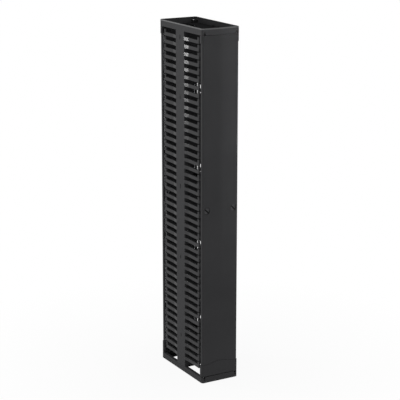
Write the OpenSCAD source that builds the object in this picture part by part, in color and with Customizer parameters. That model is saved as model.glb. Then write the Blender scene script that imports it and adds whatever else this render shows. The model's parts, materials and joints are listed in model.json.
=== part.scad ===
// Free-standing vertical cable manager, front and rear cable channels, dual-hinged doors.
// Millimetres. +X is right as seen from the front, +Y is to the back, +Z is up.
// The origin is at the middle of the footprint, on the floor.

/* [Overall] */
// Overall height
height = 2127; // [1500:1:2400]
// Overall width
width = 246; // [220:1:360]
// Overall depth, doors included
depth = 508; // [440:1:700]

/* [Base and top frames] */
// Height of the base frame
base_h = 36; // [34:1:60]
// Height of the open top frame
top_h = 39; // [36:1:60]
// Outer radius of the frame corners
corner_r = 14; // [6:1:16]
// Sheet thickness of the frames, posts and webs
sheet = 2; // [1.5:0.5:2.5]
// Width of the inward flange that the posts stand on
flange_w = 18; // [16:1:22]
// Width of the base's floor flange
floor_flange_w = 38; // [35:1:44]
// Width of the folded rim at the very top
rim_w = 5; // [3:1:9]

/* [Floor anchors] */
// Radius of a floor anchor hole
anchor_r = 6.5; // [4:0.5:7]
// Distance of the anchor holes from the side faces
anchor_side = 27.5; // [27:0.5:29]
// Distance of the anchor holes from the front and rear faces
anchor_end = 60; // [50:1:90]

/* [Spine] */
// Width of each post, front to back
post_w = 97; // [80:1:120]
// How far the spine stands behind the middle of the depth
spine_back = 6; // [0:1:12]
// Depth of the post flanges
post_flange = 28; // [26:1:34]
// Thickness of the foot plate in each end of a post
foot_t = 3; // [2:0.5:5]
// Thickness of the plates that join the posts at the base and top
plate_t = 3; // [2:0.5:4]
// Width of the pass-through windows
window_w = 120; // [60:1:150]
// Height of the pass-through windows
window_h = 80; // [60:1:160]
// Corner radius of the pass-through windows
window_r = 20; // [8:1:28]
// Height of the lowest window's centre
window_z = 307; // [220:1:330]
// Width of the cable openings in the top plate
top_opening_w = 90; // [60:1:96]
// Length of the cable openings in the top plate
top_opening_l = 130; // [100:1:150]
// Spacing of the windows
window_pitch = 478; // [430:1:500]
// Half width of the slots in the post faces
slot_r = 3; // [2.5:0.5:5]
// Length of the slots in the post faces
slot_len = 26; // [16:1:40]
// Radius of the cable tie holes in the base plate
plate_hole_r = 7; // [4:0.5:9]

/* [Fingers] */
// Spacing of the fingers, one rack unit
unit_pitch = 44.45; // [40:0.05:50]
// Height of one finger
finger_h = 20; // [12:0.5:24]
// Thickness of one finger
finger_t = 10; // [6:0.5:12]
// How far the fingers lie inside the side faces
finger_in = 5; // [3:0.5:8]
// Length of the sloping root of a finger
root_len = 42; // [20:1:60]
// Thickness of a finger where it meets the post
root_t = 24; // [18:1:26]
// Depth of the upright lip at a finger's tip
lip_d = 16; // [8:1:24]
// Gap between one lip and the finger above it
lip_gap = 6; // [4:0.5:12]
// Distance of the finger tips from the front and rear faces
tip_back = 47; // [44:1:60]
// Free height between the base and the lowest finger
below_fingers = 45; // [30:1:60]

/* [Doors] */
// Thickness of the door skin
skin_t = 1.5; // [1:0.25:2]
// Corner radius of the door skin
skin_r = 8; // [5:1:8]
// Depth of the door skin's side flanges
door_d = 22.5; // [22:0.5:24]
// How far the end caps stand proud of the skin in front
cap_proud = 2.5; // [1.5:0.25:3]
// How far the end caps stand proud of the skin at the sides
cap_side = 4.5; // [3:0.25:5]
// Thickness of the end caps' flat ends
cap_end_t = 3; // [2:0.5:5]
// Height of the top cap at its sides
top_cap_h = 43; // [30:1:60]
// Height of the bottom cap at its sides
bottom_cap_h = 70; // [50:1:100]
// Rise of the arched edge of the caps
cap_arch = 16; // [6:1:24]
// Gap between the top cap and the top frame
top_gap = 2; // [1.5:0.5:3]
// Gap between the bottom cap and the base frame
bottom_gap = 5; // [3:0.5:8]

/* [Latches] */
// Height of the latch knobs
knob_z = 1064; // [700:1:1300]
// Distance of the latch knobs from the sides
knob_side = 34.5; // [34.5:0.25:36]
// Outer radius of the latch cup's bezel
bezel_r = 22; // [20.5:0.25:22]
// Radius of the latch cup's body
cup_r = 19.5; // [19:0.25:20]
// Depth of the latch cup behind the skin
cup_d = 11.5; // [10:0.5:12]
// Radius of the pin rods
rod_r = 4; // [3:0.25:4.5]
// Distance of the pin rods from the sides
pin_side = 17; // [16:0.5:18]
// Distance of the pin rods from the door's front
pin_back = 14; // [12:0.5:15]
// Travel of a pin rod
travel = 12; // [8:0.5:14]
// Width of the notch that lets a drawn pin out
notch_w = 10; // [9.5:0.5:12]

/* [Hidden] */
$fn = 48;
eps = 0.01;
running = 0.05;    // radial clearance of a shaft in its bore
slip = 0.3;        // clearance of pieces that slide past or into each other

// Colours
black_steel = [0.16, 0.16, 0.165];
black_plastic = [0.2, 0.2, 0.205];
bright_steel = [0.62, 0.63, 0.65];
natural_nylon = [0.13, 0.13, 0.13];

// Main planes
side_x = width / 2;
front_y = -depth / 2;
top_z = height - top_h;
post_front = spine_back - post_w / 2;
post_rear = spine_back + post_w / 2;
tip_front = front_y + tip_back;
tip_rear = -front_y - tip_back;

// Fingers: as many rack units as fit between the frames
above_fingers = 29;
units = floor((top_z - base_h - below_fingers - above_fingers + unit_pitch - finger_h) / unit_pitch);
lip_h = unit_pitch - lip_gap;
lip_r = 3;
fillet_r = 4;

// Spine
web_bottom = base_h + foot_t + 1;
web_top = top_z - foot_t - 1;
window_count = floor((web_top - window_z - window_h / 2) / window_pitch) + 1;
slot_heights = [229, 726, 1163, 1702, 2051];
screw_r = 2.5;
screw_head_r = 4.5;
screw_head_t = 2.5;
screw_rows = 6;
screw_x = side_x - post_flange / 2;
bolt_r = 4;
bolt_x = side_x - (flange_w + sheet) / 2;
bolt_y = 28;
bolt_head_r = 6.5;
bolt_head_t = 5;
nut_t = 6;
hole_slip = 0.25;
plate_hole_x = 13;
plate_hole_y = 14;

// Doors
door_bottom = base_h + bottom_gap;
door_top = top_z - top_gap;
skin_x = side_x - cap_side;
skin_y = front_y + cap_proud;
skin_back = skin_y + door_d;
return_w = 9;
cap_lap = 2;
tab_w = 15;
cap_back = skin_back + slip + cap_lap;
boss_r = 8;
boss_h = 10;
tab_screw_r = 1.5;
tab_screw_head_r = 3;
tab_screw_head_t = 1.6;
tab_screw_in = 6;

// Latches
pin_x = side_x - pin_side;
pin_y = front_y + pin_back;
knob_x = side_x - knob_side;
reach = 16;                                  // how far a pushed-out pin enters its frame
block_w = 2 * (pin_side - sheet);
block_back = pin_y + 14;
block_h = 18;
mouth_h = reach - travel + 3;                // height of the block's open mouth
notch_h = 21;
cup_wall = 2;
bezel_t = 1.5;
cup_back = skin_y + cup_d;
shaft_r = 5;
disc_t = 3;
disc_y = cup_back - cup_wall - slip - disc_t;
bar_w = 7;
bar_front = front_y + 1.5;
bar_angle = 45;
cam_r = 13;
cam_t = 3;
cam_y = cup_back + slip;
cam_back = cam_y + cam_t;
square_w = 7;
drive_pin_r = 2.5;
crank_r = travel / 2 * sqrt(2);
strap_t = 3;
strap_y = cam_back + slip;
strap_w = 10;
fork_in = 4.5;
fork_wall = 4.5;
fork_gap = drive_pin_r + slip;
fork_out = crank_r + drive_pin_r + slip;
arm_z = 1.5 * travel + fork_gap + fork_wall + 1;
arm_h = 8;
rod_end_z = cup_r + travel + 2;
tie_h = 14;
cam_screw_head_r = 4.2;
cam_screw_head_t = 2.4;
cam_screw_r = 2;
cam_screw_len = 8;
guide_w = 18;
guide_h = 20;
guide_wall = 3;
guide_near = 260;
guide_far = 720;
chamfer = 1;                                 // on the pin ends

// ---------------------------------------------------------------- plain shapes

// Rectangle with round corners, w along X and d along Y, centred
module round_rect(w, d, r) {
  square([w - 2 * r, d], center = true);
  square([w, d - 2 * r], center = true);
  for (sx = [-1, 1], sy = [-1, 1])
    translate([sx * (w / 2 - r), sy * (d / 2 - r)]) circle(r);
}

// Outline whose two front corners are round: half width w, from y0 back to y1
module fronted(w, y0, y1, r) {
  intersection() {
    translate([-w, y0]) square([2 * w, y1 - y0]);
    union() {
      translate([-w, y0 + r]) square([2 * w, y1 - y0]);
      translate([-w + r, y0]) square([2 * (w - r), y1 - y0]);
      for (s = [-1, 1]) translate([s * (w - r), y0 + r]) circle(r);
    }
  }
}

module plate(x0, x1, y0, y1, z0, z1) {
  translate([x0, y0, z0]) cube([x1 - x0, y1 - y0, z1 - z0]);
}

// Cylinder along +Y from y0 to y1
module rod_y(r, y0, y1) {
  translate([0, y0, 0]) rotate([-90, 0, 0]) cylinder(r = r, h = y1 - y0);
}

module both_sides() {
  children();
  mirror([1, 0, 0]) children();
}

// The rear door and what goes with it is the front one turned half round
module at_rear() {
  rotate([0, 0, 180]) children();
}

module four_corners() {
  both_sides() children();
  at_rear() both_sides() children();
}

// ---------------------------------------------------------------- frames

module ring(z0, h, band) {
  translate([0, 0, z0]) linear_extrude(h) difference() {
    round_rect(width, depth, corner_r);
    round_rect(width - 2 * band, depth - 2 * band, max(corner_r - band, 1));
  }
}

// Notch in a frame's front wall and flange, through which a drawn pin swings out
module pin_notch(z0, z1) {
  translate([0, 0, z0]) linear_extrude(z1 - z0) translate([pin_x, 0]) {
    translate([-notch_w / 2, front_y - 1]) square([notch_w, pin_y - front_y + 1]);
    translate([0, pin_y]) circle(notch_w / 2);
  }
}

module post_bolt_holes(z0, z1) {
  for (sx = [-1, 1], sy = [-1, 1])
    translate([sx * bolt_x, spine_back + sy * bolt_y, z0 - 1])
      cylinder(r = bolt_r + hole_slip, h = z1 - z0 + 2);
}

module base_frame() {
  color(black_steel) difference() {
    union() {
      ring(0, base_h, sheet);
      ring(0, sheet, floor_flange_w);
      ring(base_h - sheet, sheet, flange_w);
    }
    four_corners() pin_notch(base_h - notch_h, base_h + 1);
    post_bolt_holes(base_h - sheet, base_h);
    for (sx = [-1, 1], sy = [-1, 1])
      translate([sx * (side_x - anchor_side), sy * (-front_y - anchor_end), -1])
        cylinder(r = anchor_r, h = sheet + 2);
  }
}

module top_frame() {
  color(black_steel) difference() {
    union() {
      ring(top_z, top_h, sheet);
      ring(top_z, sheet, flange_w);
      ring(height - sheet, sheet, rim_w);
    }
    four_corners() pin_notch(top_z - 1, top_z + notch_h);
    post_bolt_holes(top_z, top_z + sheet);
  }
}

// Bearing block for one pin, built at the base; above the bore its mouth is open to the front
module pivot_block() {
  difference() {
    plate(side_x - sheet - block_w, side_x - sheet, front_y + sheet, block_back, 0, block_h);
    translate([pin_x, pin_y, -1]) cylinder(r = rod_r + running, h = block_h + 2);
    translate([0, 0, block_h]) mirror([0, 0, 1]) pin_notch(-1, mouth_h);
    translate([side_x - corner_r, front_y + corner_r, -1]) difference() {
      plate(0, corner_r, -corner_r, 0, 0, block_h + 2);
      translate([0, 0, -1]) cylinder(r = corner_r - sheet - slip, h = block_h + 4);
    }
  }
}

module base_pivot_blocks() {
  color(natural_nylon) four_corners()
    translate([0, 0, base_h - sheet - block_h]) pivot_block();
}

module top_pivot_blocks() {
  color(natural_nylon) four_corners()
    translate([0, 0, top_z + sheet + block_h]) mirror([0, 0, 1]) pivot_block();
}

// Flat plate under the flange that carries the posts
module base_plate() {
  z0 = base_h - sheet - plate_t;
  color(black_steel) difference() {
    plate(-side_x + sheet, side_x - sheet, post_front, post_rear, z0, z0 + plate_t);
    post_bolt_holes(z0, z0 + plate_t);
    for (sx = [-1, 1], sy = [-1, 1])
      translate([sx * plate_hole_x, spine_back + sy * plate_hole_y, z0 - 1])
        cylinder(r = plate_hole_r, h = plate_t + 2);
  }
}

// Plate that fills the top frame between the bearing blocks, with an opening over each channel
module top_plate() {
  z0 = top_z + sheet;
  tongue = side_x - sheet - block_w - slip;
  color(black_steel) difference() {
    union() {
      plate(-side_x + sheet, side_x - sheet, block_back + slip, -block_back - slip,
        z0, z0 + plate_t);
      plate(-tongue, tongue, front_y + sheet, -front_y - sheet, z0, z0 + plate_t);
    }
    post_bolt_holes(z0, z0 + plate_t);
    for (y = [(front_y + post_front) / 2, (post_rear - front_y) / 2])
      translate([0, y, z0 - 1]) linear_extrude(plate_t + 2)
        round_rect(top_opening_w, top_opening_l, window_r);
  }
}

module frame_bolts() {
  color(bright_steel) for (sx = [-1, 1], sy = [-1, 1])
    translate([sx * bolt_x, spine_back + sy * bolt_y, 0]) {
      bolt_and_nut(base_h + foot_t, base_h - sheet - plate_t, 1);
      bolt_and_nut(top_z - foot_t, top_z + sheet + plate_t, -1);
    }
}

// Bolt with its head at z_head and its nut beyond z_nut; up is the way the head faces
module bolt_and_nut(z_head, z_nut, up) {
  grip = abs(z_head - z_nut);
  translate([0, 0, z_head]) mirror([0, 0, up > 0 ? 0 : 1]) {
    cylinder(r = bolt_head_r, h = bolt_head_t, $fn = 6);
    translate([0, 0, -grip - nut_t - 1]) cylinder(r = bolt_r, h = grip + nut_t + 1 + eps);
    translate([0, 0, -grip - nut_t]) difference() {
      cylinder(r = bolt_head_r, h = nut_t, $fn = 6);
      translate([0, 0, -1]) cylinder(r = bolt_r + running, h = nut_t + 2);
    }
  }
}

// ---------------------------------------------------------------- spine

function screw_z(i) = base_h + below_fingers + finger_h + (unit_pitch - finger_h) / 2
  + unit_pitch * round(i * (units - 2) / (screw_rows - 1));

module web_screw_places(y) {
  for (i = [0:screw_rows - 1], s = [-1, 1])
    translate([s * screw_x, y, screw_z(i)]) children();
}

module post_slot(z) {
  translate([0, spine_back, z]) rotate([0, 90, 0]) linear_extrude(4 * sheet, center = true) {
    square([slot_len - 2 * slot_r, 2 * slot_r], center = true);
    for (s = [-1, 1]) translate([s * (slot_len / 2 - slot_r), 0]) circle(slot_r);
  }
}

// Channel-section post on the left, open to the inside, with a foot plate in each end
module post() {
  difference() {
    union() {
      plate(-side_x, -side_x + sheet, post_front, post_rear, base_h, top_z);
      for (y = [post_front, post_rear - sheet])
        plate(-side_x, -side_x + post_flange, y, y + sheet, base_h, top_z);
      for (z = [base_h, top_z - foot_t])
        plate(-side_x, -side_x + post_flange, post_front, post_rear, z, z + foot_t);
    }
    post_bolt_holes(base_h, base_h + foot_t);
    post_bolt_holes(top_z - foot_t, top_z);
    for (z = slot_heights) translate([-side_x, 0, 0]) post_slot(z);
    web_screw_places(post_front - 1) rod_y(screw_r + hole_slip, 0, post_w + 2);
  }
}

module left_post() {
  color(black_steel) post();
}

module right_post() {
  color(black_steel) mirror([1, 0, 0]) post();
}

// Web plate between the posts, with its front face at y
module web(y) {
  difference() {
    plate(-side_x + sheet, side_x - sheet, y, y + sheet, web_bottom, web_top);
    for (i = [0:window_count - 1])
      translate([0, y - 1, window_z + i * window_pitch]) rotate([-90, 0, 0])
        linear_extrude(sheet + 2) round_rect(window_w, window_h, window_r);
    web_screw_places(y - 1) rod_y(screw_r + hole_slip, 0, sheet + 2);
  }
}

module front_web() {
  color(black_steel) web(post_front + sheet);
}

module rear_web() {
  color(black_steel) web(post_rear - 2 * sheet);
}

module web_screw() {
  rod_y(screw_r, -eps, 2 * sheet + 3);
  rod_y(screw_head_r, -screw_head_t, 0);
}

module web_screws() {
  color(bright_steel) {
    web_screw_places(post_front) web_screw();
    web_screw_places(post_rear) mirror([0, 1, 0]) web_screw();
  }
}

// ---------------------------------------------------------------- fingers

// Plan of a finger: u runs from the post face to the tip, v inwards from the side face
module finger_plan(len) {
  tip_v = finger_in + finger_t;
  polygon([
    [0, 0], [root_len, finger_in], [len - lip_r, finger_in], [len, finger_in + lip_r],
    [len, tip_v - lip_r], [len - lip_r, tip_v], [root_len, tip_v], [root_len / 3, root_t], [0, root_t]
  ]);
}

// Side view of a finger: a bar with an upright lip at its tip
module finger_side(len) {
  difference() {
    union() {
      square([len - lip_r, finger_h]);
      translate([len - 2 * lip_r, lip_r]) square([2 * lip_r, lip_h - 2 * lip_r]);
      translate([len - lip_d, finger_h - eps]) square([lip_d - lip_r, lip_h - finger_h + eps]);
      for (z = [lip_r, lip_h - lip_r]) translate([len - lip_r, z]) circle(lip_r);
      translate([len - lip_d - fillet_r, finger_h - eps]) square([fillet_r + eps, fillet_r]);
    }
    translate([len - lip_d - fillet_r, finger_h + fillet_r]) circle(fillet_r);
  }
}

// One finger along +Y from the origin, outer face to -X
module finger(len) {
  intersection() {
    rotate([90, 0, 90]) linear_extrude(root_t) finger_side(len);
    linear_extrude(lip_h) mirror([1, -1, 0]) finger_plan(len);
  }
}

// A column of fingers on the left side, from the post face y0 to the tips at y1
module finger_column(y0, y1) {
  forward = y1 < y0;
  for (i = [0:units - 1])
    translate([-side_x, y0, base_h + below_fingers + i * unit_pitch])
      mirror([0, forward ? 1 : 0, 0]) finger(abs(y1 - y0));
}

module front_left_fingers() {
  color(black_plastic) finger_column(post_front, tip_front);
}

module front_right_fingers() {
  color(black_plastic) mirror([1, 0, 0]) finger_column(post_front, tip_front);
}

module rear_left_fingers() {
  color(black_plastic) finger_column(post_rear, tip_rear);
}

module rear_right_fingers() {
  color(black_plastic) mirror([1, 0, 0]) finger_column(post_rear, tip_rear);
}

// ---------------------------------------------------------------- doors

// Outline of the folded door skin, seen from above
module skin_outline() {
  difference() {
    fronted(skin_x, skin_y, skin_back, skin_r);
    fronted(skin_x - skin_t, skin_y + skin_t, skin_back - skin_t, skin_r - skin_t);
    translate([-skin_x + return_w, skin_back - skin_t - 1])
      square([2 * (skin_x - return_w), skin_t + 2]);
  }
}

module knob_places() {
  both_sides() translate([knob_x, 0, knob_z]) children();
}

module door_panel() {
  difference() {
    translate([0, 0, door_bottom + cap_end_t])
      linear_extrude(door_top - door_bottom - 2 * cap_end_t) skin_outline();
    knob_places() rod_y(cup_r + slip, skin_y - 1, skin_y + skin_t + 1);
    cap_screw_places() rod_y(tab_screw_r + hole_slip, skin_back - 2 * skin_t, skin_back + 1);
  }
}

// Places of the screws through the caps' rear tabs, clear of the return flange's edge
module cap_screw_places() {
  both_sides() for (z = [door_bottom + bottom_cap_h / 2, door_top - top_cap_h / 2])
    translate([skin_x - tab_screw_in, 0, z]) children();
}

// Cut above a cap's arched edge: the edge lies at h at the sides and rises by rise in the middle
module arch_cut(h, rise) {
  steps = 24;
  translate([0, cap_back + 1, 0]) rotate([90, 0, 0]) linear_extrude(cap_back - front_y + 2)
    polygon(concat(
      [for (i = [0:steps]) let (x = (2 * i / steps - 1) * (skin_x - skin_r))
        [x, h + rise * (1 + cos(180 * x / (skin_x - skin_r))) / 2]],
      [[side_x + 1, h], [side_x + 1, h + rise + 60], [-side_x - 1, h + rise + 60], [-side_x - 1, h]]));
}

// End cap, built with its flat end at z = 0 and its open end up
module end_cap(h, rise, boss_out) {
  difference() {
    union() {
      linear_extrude(h + rise) difference() {
        fronted(side_x, front_y, cap_back, corner_r);
        translate([-side_x + tab_w, skin_back + slip])
          square([2 * (side_x - tab_w), cap_lap + 1]);
      }
      both_sides() translate([pin_x, pin_y, -boss_out]) cylinder(r = boss_r, h = boss_out + eps);
    }
    difference() {
      translate([0, 0, cap_end_t]) linear_extrude(h + rise)
        fronted(skin_x + slip, skin_y - slip, skin_back + slip, skin_r + slip);
      both_sides() translate([pin_x, pin_y, 0]) cylinder(r = boss_r, h = cap_end_t + boss_h);
    }
    both_sides() translate([pin_x, pin_y, -boss_out - 1])
      cylinder(r = rod_r + running, h = boss_out + cap_end_t + boss_h + 2);
    both_sides() translate([skin_x - tab_screw_in, 0, h / 2])
      rod_y(tab_screw_r + hole_slip, skin_back - 1, cap_back + 1);
    arch_cut(h, rise);
  }
}

module door_top_cap() {
  translate([0, 0, door_top]) mirror([0, 0, 1]) end_cap(top_cap_h, cap_arch, 0);
}

module door_bottom_cap() {
  translate([0, 0, door_bottom]) end_cap(bottom_cap_h, cap_arch, bottom_gap - slip);
}

module door_cap_screws() {
  cap_screw_places() {
    rod_y(tab_screw_r, skin_back - skin_t - 2, cap_back + eps);
    rod_y(tab_screw_head_r, cap_back, cap_back + tab_screw_head_t);
  }
}

// Guides that hold one side's rods to the skin, on the right
module rod_guides() {
  for (dz = [-guide_far, -guide_near, guide_near, guide_far])
    translate([0, 0, knob_z + dz - guide_h / 2]) difference() {
      linear_extrude(guide_h) intersection() {
        fronted(skin_x - skin_t, skin_y + skin_t, skin_back, skin_r);
        translate([pin_x - guide_w / 2, skin_y]) square([guide_w, pin_y + rod_r + guide_wall - skin_y]);
      }
      translate([pin_x, pin_y, -1]) cylinder(r = rod_r + running, h = guide_h + 2);
    }
}

// ---------------------------------------------------------------- latches

// Everything in a latch is built on the right; drawn is how far its pins are drawn in

// Round cup let into the skin, with a bevelled bezel and a bore for the knob's shaft
module cup() {
  translate([knob_x, skin_y, knob_z]) rotate([-90, 0, 0]) rotate_extrude()
    polygon([
      [shaft_r + running, cup_d], [cup_r, cup_d], [cup_r, 0], [bezel_r, 0], [bezel_r, -bezel_t / 3],
      [bezel_r - bezel_t, -bezel_t], [cup_r - cup_wall + 1, -bezel_t], [cup_r - cup_wall, 0],
      [cup_r - cup_wall, cup_d - cup_wall], [shaft_r + running, cup_d - cup_wall]
    ]);
}

// Angle of a knob's bar from the upright; positive leans its top to the right
function knob_angle(drawn) = drawn > 0 ? -bar_angle : bar_angle;

module knob(drawn) {
  translate([knob_x, 0, knob_z]) rotate([0, knob_angle(drawn), 0]) difference() {
    union() {
      rod_y(cup_r - cup_wall - slip, disc_y, disc_y + disc_t);
      bar();
      rod_y(shaft_r, disc_y, cam_y);
      translate([-square_w / 2, disc_y, -square_w / 2])
        cube([square_w, cam_back - disc_y, square_w]);
    }
    rod_y(cam_screw_r + running, cam_back - cam_screw_len, cam_back + 1);
  }
}

// Thumb bar across the knob, with round ends and a narrower crest
module bar() {
  foot = cup_r - cup_wall - 1.5;
  intersection() {
    rod_y(foot, bar_front, disc_y + eps);
    translate([0, 0, -cup_r]) linear_extrude(2 * cup_r) polygon([
      [-bar_w / 2, disc_y + eps], [bar_w / 2, disc_y + eps],
      [bar_w / 2 - 1.5, bar_front], [-bar_w / 2 + 1.5, bar_front]
    ]);
  }
}

// Drive plate on the knob's square, with a pin for each rod's fork
module cam(drawn) {
  translate([knob_x, 0, knob_z]) rotate([0, knob_angle(drawn), 0]) {
    difference() {
      rod_y(cam_r, cam_y, cam_back);
      translate([-(square_w + slip) / 2, cam_y - 1, -(square_w + slip) / 2])
        cube([square_w + slip, cam_t + 2, square_w + slip]);
    }
    for (s = [-1, 1]) rotate([0, s * 90, 0])
      translate([0, 0, crank_r]) rod_y(drive_pin_r, cam_back - eps, cam_back + slip + strap_t + 1);
  }
}

module cam_screw() {
  translate([knob_x, 0, knob_z]) {
    rod_y(cam_screw_r, cam_back - cam_screw_len + 1, cam_back + eps);
    rod_y(cam_screw_head_r, cam_back, cam_back + cam_screw_head_t);
  }
}

// A rod's flat fork; side is -1 for the fork across the knob, 1 for the near one
module fork(side) {
  translate([side < 0 ? -fork_out - fork_wall : fork_in, strap_y, -fork_gap - fork_wall])
    difference() {
      cube([fork_out + fork_wall - fork_in, strap_t, 2 * (fork_gap + fork_wall)]);
      translate([side < 0 ? fork_wall : -1, -1, fork_wall])
        cube([fork_out - fork_in + 1, strap_t + 2, 2 * fork_gap]);
    }
}

// Flat bar in the plane of the forks
module strap(x0, x1, z0, z1) {
  plate(x0, x1, strap_y, strap_y + strap_t, z0, z1);
}

// Round rod from za to zb over the knob's height, and the block that ties it to its strap
module rod_and_tie(za, zb, tie_z) {
  rod_x = pin_x - knob_x;
  translate([rod_x, pin_y, za]) cylinder(r = rod_r, h = zb - za - chamfer);
  translate([rod_x, pin_y, zb - chamfer])
    cylinder(r1 = rod_r, r2 = rod_r - chamfer, h = chamfer);
  plate(rod_x - rod_r, rod_x + rod_r, pin_y, strap_y + eps, tie_z, tie_z + tie_h);
}

// Rod with its pin end up; its fork reaches over the knob to the far drive pin
module upper_rod(drawn) {
  rod_x = pin_x - knob_x;
  translate([knob_x, 0, knob_z - drawn]) {
    rod_and_tie(rod_end_z, top_z + reach - knob_z, rod_end_z);
    strap(rod_x - strap_w / 2, rod_x + strap_w / 2, arm_z, rod_end_z + tie_h);
    strap(-fork_out - fork_wall, rod_x + strap_w / 2, arm_z, arm_z + arm_h);
    strap(-fork_out - fork_wall, -fork_out, travel / 2, arm_z + eps);
    translate([0, 0, travel / 2]) fork(-1);
  }
}

// Rod with its pin end down; its fork holds the near drive pin
module lower_rod(drawn) {
  rod_x = pin_x - knob_x;
  translate([knob_x, 0, knob_z + drawn]) mirror([0, 0, 1]) {
    rod_and_tie(rod_end_z, knob_z - base_h + reach, rod_end_z);
    strap(rod_x - strap_w / 2, rod_x + strap_w / 2, travel / 2 - fork_gap - fork_wall,
      rod_end_z + tie_h);
    translate([0, 0, travel / 2]) fork(1);
  }
}

// ---------------------------------------------------------------- one door's nodes

// The hinge side is on the left with its pins out, the latch side on the right with them drawn in
module hinge_side() {
  mirror([1, 0, 0]) children();
}

module door_part(part) {
  if (part == "door_panel") color(black_steel) door_panel();
  if (part == "door_top_cap") color(black_plastic) door_top_cap();
  if (part == "door_bottom_cap") color(black_plastic) door_bottom_cap();
  if (part == "door_cap_screws") color(bright_steel) door_cap_screws();
  if (part == "hinge_cup") color(black_plastic) hinge_side() cup();
  if (part == "latch_cup") color(black_plastic) cup();
  if (part == "hinge_rod_guides") color(natural_nylon) hinge_side() rod_guides();
  if (part == "latch_rod_guides") color(natural_nylon) rod_guides();
  if (part == "hinge_knob") color(black_plastic) hinge_side() knob(0);
  if (part == "latch_knob") color(black_plastic) knob(travel);
  if (part == "hinge_cam") color(bright_steel) hinge_side() cam(0);
  if (part == "latch_cam") color(bright_steel) cam(travel);
  if (part == "hinge_cam_screw") color(bright_steel) hinge_side() cam_screw();
  if (part == "latch_cam_screw") color(bright_steel) cam_screw();
  if (part == "hinge_upper_rod") color(bright_steel) hinge_side() upper_rod(0);
  if (part == "hinge_lower_rod") color(bright_steel) hinge_side() lower_rod(0);
  if (part == "latch_upper_rod") color(bright_steel) upper_rod(travel);
  if (part == "latch_lower_rod") color(bright_steel) lower_rod(travel);
}

base_frame();
top_frame();
base_plate();
top_plate();
left_post();
right_post();
front_web();
rear_web();
front_left_fingers();
front_right_fingers();
rear_left_fingers();
rear_right_fingers();
base_pivot_blocks();
top_pivot_blocks();
web_screws();
frame_bolts();
door_part("door_panel");  // front_door_panel
door_part("door_top_cap");  // front_door_top_cap
door_part("door_bottom_cap");  // front_door_bottom_cap
door_part("door_cap_screws");  // front_door_cap_screws
door_part("hinge_cup");  // front_hinge_cup
door_part("latch_cup");  // front_latch_cup
door_part("hinge_rod_guides");  // front_hinge_rod_guides
door_part("latch_rod_guides");  // front_latch_rod_guides
door_part("hinge_knob");  // front_hinge_knob
door_part("latch_knob");  // front_latch_knob
door_part("hinge_cam");  // front_hinge_cam
door_part("latch_cam");  // front_latch_cam
door_part("hinge_cam_screw");  // front_hinge_cam_screw
door_part("latch_cam_screw");  // front_latch_cam_screw
door_part("hinge_upper_rod");  // front_hinge_upper_rod
door_part("hinge_lower_rod");  // front_hinge_lower_rod
door_part("latch_upper_rod");  // front_latch_upper_rod
door_part("latch_lower_rod");  // front_latch_lower_rod
at_rear() door_part("door_panel");  // rear_door_panel
at_rear() door_part("door_top_cap");  // rear_door_top_cap
at_rear() door_part("door_bottom_cap");  // rear_door_bottom_cap
at_rear() door_part("door_cap_screws");  // rear_door_cap_screws
at_rear() door_part("hinge_cup");  // rear_hinge_cup
at_rear() door_part("latch_cup");  // rear_latch_cup
at_rear() door_part("hinge_rod_guides");  // rear_hinge_rod_guides
at_rear() door_part("latch_rod_guides");  // rear_latch_rod_guides
at_rear() door_part("hinge_knob");  // rear_hinge_knob
at_rear() door_part("latch_knob");  // rear_latch_knob
at_rear() door_part("hinge_cam");  // rear_hinge_cam
at_rear() door_part("latch_cam");  // rear_latch_cam
at_rear() door_part("hinge_cam_screw");  // rear_hinge_cam_screw
at_rear() door_part("latch_cam_screw");  // rear_latch_cam_screw
at_rear() door_part("hinge_upper_rod");  // rear_hinge_upper_rod
at_rear() door_part("hinge_lower_rod");  // rear_hinge_lower_rod
at_rear() door_part("latch_upper_rod");  // rear_latch_upper_rod
at_rear() door_part("latch_lower_rod");  // rear_latch_lower_rod
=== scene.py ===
import json
import math

import bpy
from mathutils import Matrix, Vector


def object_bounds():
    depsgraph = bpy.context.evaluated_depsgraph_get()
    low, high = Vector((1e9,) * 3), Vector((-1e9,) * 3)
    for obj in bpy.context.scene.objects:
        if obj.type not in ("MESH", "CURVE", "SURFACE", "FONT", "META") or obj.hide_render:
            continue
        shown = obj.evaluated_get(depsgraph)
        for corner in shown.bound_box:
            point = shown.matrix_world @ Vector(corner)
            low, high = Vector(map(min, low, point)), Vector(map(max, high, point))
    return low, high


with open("model.json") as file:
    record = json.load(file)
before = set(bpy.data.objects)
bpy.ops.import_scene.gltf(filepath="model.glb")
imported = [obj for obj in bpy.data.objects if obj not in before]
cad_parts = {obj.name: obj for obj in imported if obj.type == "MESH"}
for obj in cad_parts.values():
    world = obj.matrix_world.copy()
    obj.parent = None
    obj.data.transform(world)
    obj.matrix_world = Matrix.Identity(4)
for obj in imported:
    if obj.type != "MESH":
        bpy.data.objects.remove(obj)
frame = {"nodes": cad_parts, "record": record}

cad_low, cad_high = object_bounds()

NODE = frame["nodes"]
SLOT_OF = {part["node"]: part["material_slot"] for part in frame["record"]["subparts"]}


# ---------------------------------------------------------------- materials

BEVEL_SAMPLES = 4


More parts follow.
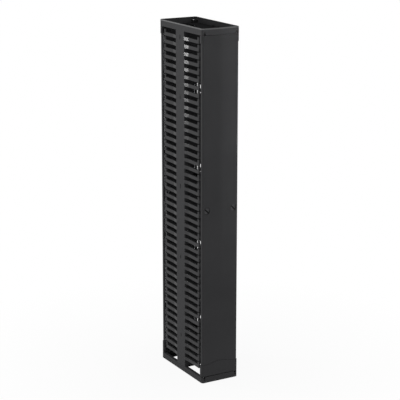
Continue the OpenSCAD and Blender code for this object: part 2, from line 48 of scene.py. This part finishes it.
class Graph:
    """Short calls for building a material's nodes."""

    def __init__(self, name):
        self.material = bpy.data.materials.new(name)
        self.material.use_nodes = True
        self.tree = self.material.node_tree
        self.tree.nodes.clear()
        self.output = self.new("ShaderNodeOutputMaterial")

    def new(self, kind, **values):
        node = self.tree.nodes.new(kind)
        for key, value in values.items():
            setattr(node, key, value)
        return node

    def put(self, socket, value):
        """Link an output to the socket, or set the socket's own value."""
        if isinstance(value, bpy.types.NodeSocket):
            self.tree.links.new(value, socket)
        else:
            socket.default_value = value

    def place(self):
        """Where a point is at rest, in metres; the coordinates move with their piece."""
        return self.new("ShaderNodeTexCoord").outputs["Object"]

    def coordinate(self, axis):
        """The X, Y or Z of the place."""
        parts = self.new("ShaderNodeSeparateXYZ")
        self.put(parts.inputs[0], self.place())
        return parts.outputs[axis]

    def true_normal(self):
        return self.new("ShaderNodeNewGeometry").outputs["True Normal"]

    def noise(self, scale, detail=3.0, rough=0.5, stretch=None):
        coord = self.place()
        if stretch is not None:
            mapping = self.new("ShaderNodeMapping")
            self.put(mapping.inputs["Vector"], coord)
            mapping.inputs["Scale"].default_value = stretch
            coord = mapping.outputs["Vector"]
        node = self.new("ShaderNodeTexNoise")
        self.put(node.inputs["Vector"], coord)
        node.inputs["Scale"].default_value = scale
        node.inputs["Detail"].default_value = detail
        node.inputs["Roughness"].default_value = rough
        return node.outputs["Fac"]

    def remap(self, value, low, high, to_low=0.0, to_high=1.0):
        node = self.new("ShaderNodeMapRange")
        self.put(node.inputs["Value"], value)
        ends = {"From Min": low, "From Max": high, "To Min": to_low, "To Max": to_high}
        for key, number in ends.items():
            node.inputs[key].default_value = number
        return node.outputs["Result"]

    def math(self, operation, a, b=0.0):
        node = self.new("ShaderNodeMath", operation=operation)
        self.put(node.inputs[0], a)
        self.put(node.inputs[1], b)
        return node.outputs[0]

    def vector(self, operation, a, b):
        node = self.new("ShaderNodeVectorMath", operation=operation)
        self.put(node.inputs[0], a)
        self.put(node.inputs[1], b)
        return node

    def mix(self, factor, a, b):
        node = self.new("ShaderNodeMix", data_type="RGBA")
        self.put(node.inputs[0], factor)
        for socket, colour in ((node.inputs[6], a), (node.inputs[7], b)):
            is_link = isinstance(colour, bpy.types.NodeSocket)
            self.put(socket, colour if is_link else (*colour, 1))
        return node.outputs[2]

    def rounded(self, radius):
        """Normal that rolls over sharp edges, as a sheet's or a moulding's edge does."""
        node = self.new("ShaderNodeBevel", samples=BEVEL_SAMPLES)
        node.inputs["Radius"].default_value = radius
        return node.outputs["Normal"]

    def edges(self, radius):
        """1 on sharp outer and inner edges, 0 on flat faces, by the cosine of the normal's turn."""
        turned = self.vector("DOT_PRODUCT", self.rounded(radius), self.true_normal())
        return self.remap(turned.outputs["Value"], 0.995, 0.85)

    def outer_rim_highlight_band(self, top, height, end_share):
        """Mask of a painted highlight: 1 on a band of the outer side faces that ends at top, and
        end_share on the end faces.

        The band fades in over the lowest fifth of its height.
        """
        band = self.remap(self.coordinate("Z"), top - height, top - height * 0.8)
        scale = (1 / cad_high.x, end_share / cad_high.y, 0.0)
        scaled = self.vector("MULTIPLY", self.place(), scale)
        outward = self.vector("DOT_PRODUCT", scaled.outputs[0], self.true_normal())
        return self.math("MULTIPLY", band, self.remap(outward.outputs["Value"], 0.0, 1.0))

    def beyond_y(self, distance, blend):
        """1 on what lies farther from the middle than distance, to the front or to the back."""
        away = self.math("ABSOLUTE", self.coordinate("Y"))
        return self.remap(away, distance - blend, distance + blend)

    def bump(self, height, depth, base):
        node = self.new("ShaderNodeBump")
        node.inputs["Strength"].default_value = 1.0
        node.inputs["Distance"].default_value = depth
        self.put(node.inputs["Height"], height)
        self.put(node.inputs["Normal"], base)
        return node.outputs["Normal"]

    def shader(self, colour, roughness, normal, **fixed):
        node = self.new("ShaderNodeBsdfPrincipled")
        self.put(node.inputs["Base Color"], colour)
        self.put(node.inputs["Roughness"], roughness)
        self.put(node.inputs["Normal"], normal)
        for key, value in fixed.items():
            node.inputs[key.replace("_", " ")].default_value = value
        self.put(self.output.inputs["Surface"], node.outputs[0])
        return self.material


def coating(name, level, rough, grain, depth, edge, gleam, paint=None):
    """Powder coat or moulded plastic: fine grain, slow changes of tone and gloss, rubbed edges.

    level is the grey's value. grain is the noise scale of the surface's grain and depth its
    height, edge is the radius of the edges, and gleam is the specular level. paint is a mask,
    made from the graph, and the colour laid on where the mask is 1.
    """
    colour = (level, level, level * 1.04)
    rubbed = (level * 1.9, level * 1.9, level * 1.94)
    g = Graph(name)
    slow = g.noise(2.3, 2.0)
    patch = g.noise(14.0, 4.0, 0.6)
    fine = g.noise(grain, 2.0, 0.55)
    tone = g.mix(g.remap(slow, 0.3, 0.7), [c * 0.93 for c in colour], [c * 1.07 for c in colour])
    wear = g.math("MULTIPLY", g.edges(edge), g.remap(patch, 0.35, 0.75, 0.15, 0.6))
    tone = g.mix(wear, tone, rubbed)
    if paint is not None:
        mask, laid_on = paint
        tone = g.mix(mask(g), tone, laid_on)
    gloss = g.math("ADD", g.remap(patch, 0.3, 0.7, rough - 0.035, rough + 0.035),
                   g.remap(fine, 0.3, 0.7, -0.03, 0.03))
    return g.shader(tone, gloss, g.bump(fine, depth, g.rounded(edge)), Specular_IOR_Level=gleam)


def plated(name, colour, rough, depth, edge):
    """Bright zinc plate with faint rolling marks; depth is their height."""
    g = Graph(name)
    marks = g.noise(260.0, stretch=(1, 1, 0.12))
    patch = g.noise(30.0, 4.0)
    tone = g.mix(g.remap(patch, 0.3, 0.7), [c * 0.85 for c in colour], colour)
    gloss = g.remap(marks, 0.3, 0.7, rough - 0.06, rough + 0.08)
    return g.shader(tone, gloss, g.bump(marks, depth, g.rounded(edge)), Metallic=1.0)


# What follows a finish's level: roughness, grain, grain depth, edge radius, specular level
POWDER_COAT = (0.4, 900, 0.00005, 0.0012, 0.03)
TRIM = (0.38, 800, 0.00003, 0.0009, 0.04)

SLOT_FINISH = {
    "frame_paint": coating("powder_coat", 0.0535, *POWDER_COAT),
    "door_paint": coating("door_coat", 0.0465, 0.38, 1100, 0.00002, 0.0009, 0.03),
    "finger_plastic": coating("finger_plastic", 0.048, 0.13, 700, 0.00002, 0.0012, 0.065),
    "moulded_trim": coating("trim_plastic", 0.0445, *TRIM),
    "fastener_black": coating("black_oxide", 0.014, 0.45, 700, 0.00003, 0.0005, 0.1),
    "zinc_steel": plated("zinc_plate", (0.62, 0.63, 0.65), 0.3, 0.00003, 0.0004),
    "nylon": coating("black_nylon", 0.02, 0.5, 500, 0.00004, 0.0006, 0.1),
}

# Painted highlight: a light band round the top of the top frame's outer faces, weaker on its end
# faces
RIM_HEIGHT = 0.0068
RIM_END_SHARE = 0.6
RIM_HIGHLIGHT_COLOUR = (0.21, 0.21, 0.212)

# Painted highlight: a knob's disc is light grey for its glints; the dark bar stands out past the
# disc's plane
DISC_Y = 0.2454
DISC_BLEND = 0.0002
BAR_COLOUR = (0.006, 0.006, 0.006)


def painted_rim_highlight(g):
    return g.outer_rim_highlight_band(cad_high.z, RIM_HEIGHT, RIM_END_SHARE)


def knob_bar(g):
    return g.beyond_y(DISC_Y, DISC_BLEND)


# Painted shade: the base frame and base plate get a darker copy of the powder coat
BASE_PAINTED_SHADE_COAT = coating("base_painted_shade_coat", 0.046, *POWDER_COAT)
# Painted highlight on the top frame's coat, along the top of its outer faces
TOP_COAT_PAINTED_HIGHLIGHT = coating("top_coat_painted_highlight", 0.053, *POWDER_COAT, paint=(painted_rim_highlight, RIM_HIGHLIGHT_COLOUR))
# Painted shade: the top plate, down in the top frame, is a darker matt coat without gloss
MATT_PAINTED_SHADE_COAT = coating("matt_painted_shade_coat", 0.02, 0.6, 900, 0.00005, 0.0012, 0.0)
# Painted highlight: the knob's light grey disc beside its dark bar
KNOB_PAINTED_GLINT = coating("knob_painted_glint", 0.14, *TRIM, paint=(knob_bar, BAR_COLOUR))

# Pieces whose material differs from the rest of their slot by painted light or shade
PAINTED_LIGHT_FINISH = {
    "base_frame": BASE_PAINTED_SHADE_COAT,
    "base_plate": BASE_PAINTED_SHADE_COAT,
    "top_frame": TOP_COAT_PAINTED_HIGHLIGHT,
    "top_plate": MATT_PAINTED_SHADE_COAT,
    "front_hinge_knob": KNOB_PAINTED_GLINT,
    "front_latch_knob": KNOB_PAINTED_GLINT,
    "rear_hinge_knob": KNOB_PAINTED_GLINT,
    "rear_latch_knob": KNOB_PAINTED_GLINT,
}
for name, obj in NODE.items():
    obj.data.materials.clear()
    obj.data.materials.append(PAINTED_LIGHT_FINISH.get(name, SLOT_FINISH[SLOT_OF[name]]))


# ---------------------------------------------------------------- backdrop

WHITE = (1.0, 1.0, 1.0, 1.0)
FLOOR_COLOUR = (0.8, 0.8, 0.8, 1.0)
FLOOR_SIZE = 60.0

# The world lights the object at AMBIENT, but at DIM from behind it. The change runs over these
# cosines of the angle to the dim direction.
AMBIENT = 0.63
DIM = 0.02
DIM_DIRECTION = (0.494, 0.869, 0.0)
DIM_FROM, DIM_TO = 0.5, 0.92

# Up to NEAR metres from the middle the floor is seen white by NEAR_SHARE, so that its shadow
# shows, and from FAR on it is all white
NEAR_SHARE = 0.93
NEAR, FAR = 0.35, 1.8


def graded(tree, value, from_ends, to_ends, curve="LINEAR"):
    """The value, mapped from one pair of ends to the other."""
    node = tree.nodes.new("ShaderNodeMapRange")
    node.interpolation_type = curve
    tree.links.new(value, node.inputs["Value"])
    keys = ("From Min", "From Max", "To Min", "To Max")
    for key, number in zip(keys, (*from_ends, *to_ends)):
        node.inputs[key].default_value = number
    return node.outputs["Result"]


def linked_math(tree, operation, a, b):
    node = tree.nodes.new("ShaderNodeMath")
    node.operation = operation
    tree.links.new(a, node.inputs[0])
    tree.links.new(b, node.inputs[1])
    return node.outputs[0]


def seen_white(tree, lit, share=None):
    """Shader that is lit for light rays and white, by the share given, for what looks at it."""
    path = tree.nodes.new("ShaderNodeLightPath")
    seen = path.outputs["Is Camera Ray"]
    for key in ("Is Glossy Ray", "Is Transmission Ray"):
        seen = linked_math(tree, "MAXIMUM", seen, path.outputs[key])
    if share is not None:
        seen = linked_math(tree, "MULTIPLY", seen, share)
    kind = "ShaderNodeBackground" if lit.type == "BACKGROUND" else "ShaderNodeEmission"
    glow = tree.nodes.new(kind)
    glow.inputs["Color"].default_value = WHITE
    glow.inputs["Strength"].default_value = 1.0
    mix = tree.nodes.new("ShaderNodeMixShader")
    tree.links.new(seen, mix.inputs[0])
    tree.links.new(lit.outputs[0], mix.inputs[1])
    tree.links.new(glow.outputs[0], mix.inputs[2])
    return mix.outputs[0]


def build_world():
    world = bpy.data.worlds.new("studio")
    bpy.context.scene.world = world
    world.use_nodes = True
    tree = world.node_tree
    tree.nodes.clear()
    ambient = tree.nodes.new("ShaderNodeBackground")
    ambient.inputs["Color"].default_value = WHITE
    direction = tree.nodes.new("ShaderNodeTexCoord")
    behind = tree.nodes.new("ShaderNodeVectorMath")
    behind.operation = "DOT_PRODUCT"
    tree.links.new(direction.outputs["Generated"], behind.inputs[0])
    behind.inputs[1].default_value = DIM_DIRECTION
    level = graded(tree, behind.outputs["Value"], (DIM_FROM, DIM_TO), (AMBIENT, DIM), "SMOOTHSTEP")
    tree.links.new(level, ambient.inputs["Strength"])
    out = tree.nodes.new("ShaderNodeOutputWorld")
    tree.links.new(seen_white(tree, ambient), out.inputs["Surface"])


def floor_material():
    material = bpy.data.materials.new("floor")
    material.use_nodes = True
    tree = material.node_tree
    tree.nodes.clear()
    pale = tree.nodes.new("ShaderNodeBsdfDiffuse")
    pale.inputs["Color"].default_value = FLOOR_COLOUR
    out = tree.nodes.new("ShaderNodeOutputMaterial")
    where = tree.nodes.new("ShaderNodeTexCoord")
    far = tree.nodes.new("ShaderNodeVectorMath")
    far.operation = "LENGTH"
    tree.links.new(where.outputs["Object"], far.inputs[0])
    share = graded(tree, far.outputs["Value"], (NEAR, FAR), (NEAR_SHARE, 1.0))
    tree.links.new(seen_white(tree, pale, share), out.inputs["Surface"])
    return material


build_world()

bpy.ops.mesh.primitive_plane_add(size=FLOOR_SIZE)
floor = bpy.context.object
floor.name = "floor"
floor.data.materials.append(floor_material())


# ---------------------------------------------------------------- lamps

def softbox(name, place, aim, width, height, watts, spread=180.0):
    """Rectangular lamp; spread is in degrees."""
    data = bpy.data.lights.new(name, "AREA")
    data.shape = "RECTANGLE"
    data.size, data.size_y = width, height
    data.energy = watts
    data.spread = math.radians(spread)
    lamp = bpy.data.objects.new(name, data)
    bpy.context.scene.collection.objects.link(lamp)
    lamp.location = place
    lamp.rotation_mode = "QUATERNION"
    lamp.rotation_quaternion = (Vector(aim) - Vector(place)).to_track_quat("-Z", "Y")


def upright_strip(name, place, aim, width, steps, share=1.0, spread=180.0):
    """Level lamps stacked into one upright strip.

    place and aim are x and y. A step is a lamp's lower and upper end and its radiance.
    """
    for bottom, top, radiance in steps:
        z = (bottom + top) / 2
        watts = share * radiance * math.pi * width * (top - bottom)
        softbox(name, (*place, z), (*aim, z), width, top - bottom, watts, spread)


softbox("front_box", place=(3.0, -4.9, 2.8), aim=(0, 0, 1.5), width=2.0, height=1.6, watts=28)

# Tall strip behind on the left, whose light fades towards its lower end
STRIP = ((1.30, 2.75, 34.8), (1.09, 1.30, 24.3), (0.88, 1.09, 15.2), (0.68, 0.88, 9.4),
         (0.45, 0.68, 3.6))
upright_strip("rear_strip", place=(-2.86, 2.85), aim=(-0.1, -0.05), width=0.2, steps=STRIP)

# Narrow beams on the front door, fading downwards: the right half gets more light than the left
BEAM = ((1.75, 2.15, 0.3), (1.4, 1.75, 0.25), (1.1, 1.4, 0.18), (0.85, 1.1, 0.11),
        (0.6, 0.85, 0.06), (0.4, 0.6, 0.02))
for x, share in ((0.078, 1.0), (-0.05, 0.25)):
    upright_strip("door_beam", place=(x, -1.3), aim=(x, 0), width=0.128, steps=BEAM,
                  share=share, spread=2.5)


# ---------------------------------------------------------------- camera

CAMERA_PLACE = (-3.92835, -6.91054, 3.17067)
AZIMUTH, ELEVATION = math.radians(-29.6606), math.radians(14.8471)
LENS, SENSOR = 123.61, 36.0
CLIP = 0.05, 100.0

camera_data = bpy.data.cameras.new("camera")
camera_data.sensor_width = SENSOR
camera_data.lens = LENS
camera_data.clip_start, camera_data.clip_end = CLIP
camera = bpy.data.objects.new("camera", camera_data)
bpy.context.scene.collection.objects.link(camera)
# Direction from the object to the camera
back = Vector((math.sin(AZIMUTH) * math.cos(ELEVATION),
               -math.cos(AZIMUTH) * math.cos(ELEVATION),
               math.sin(ELEVATION)))
camera.location = CAMERA_PLACE
camera.rotation_mode = "QUATERNION"
camera.rotation_quaternion = (-back).to_track_quat("-Z", "Y")
bpy.context.scene.camera = camera

bpy.context.scene.view_settings.view_transform = "Standard"
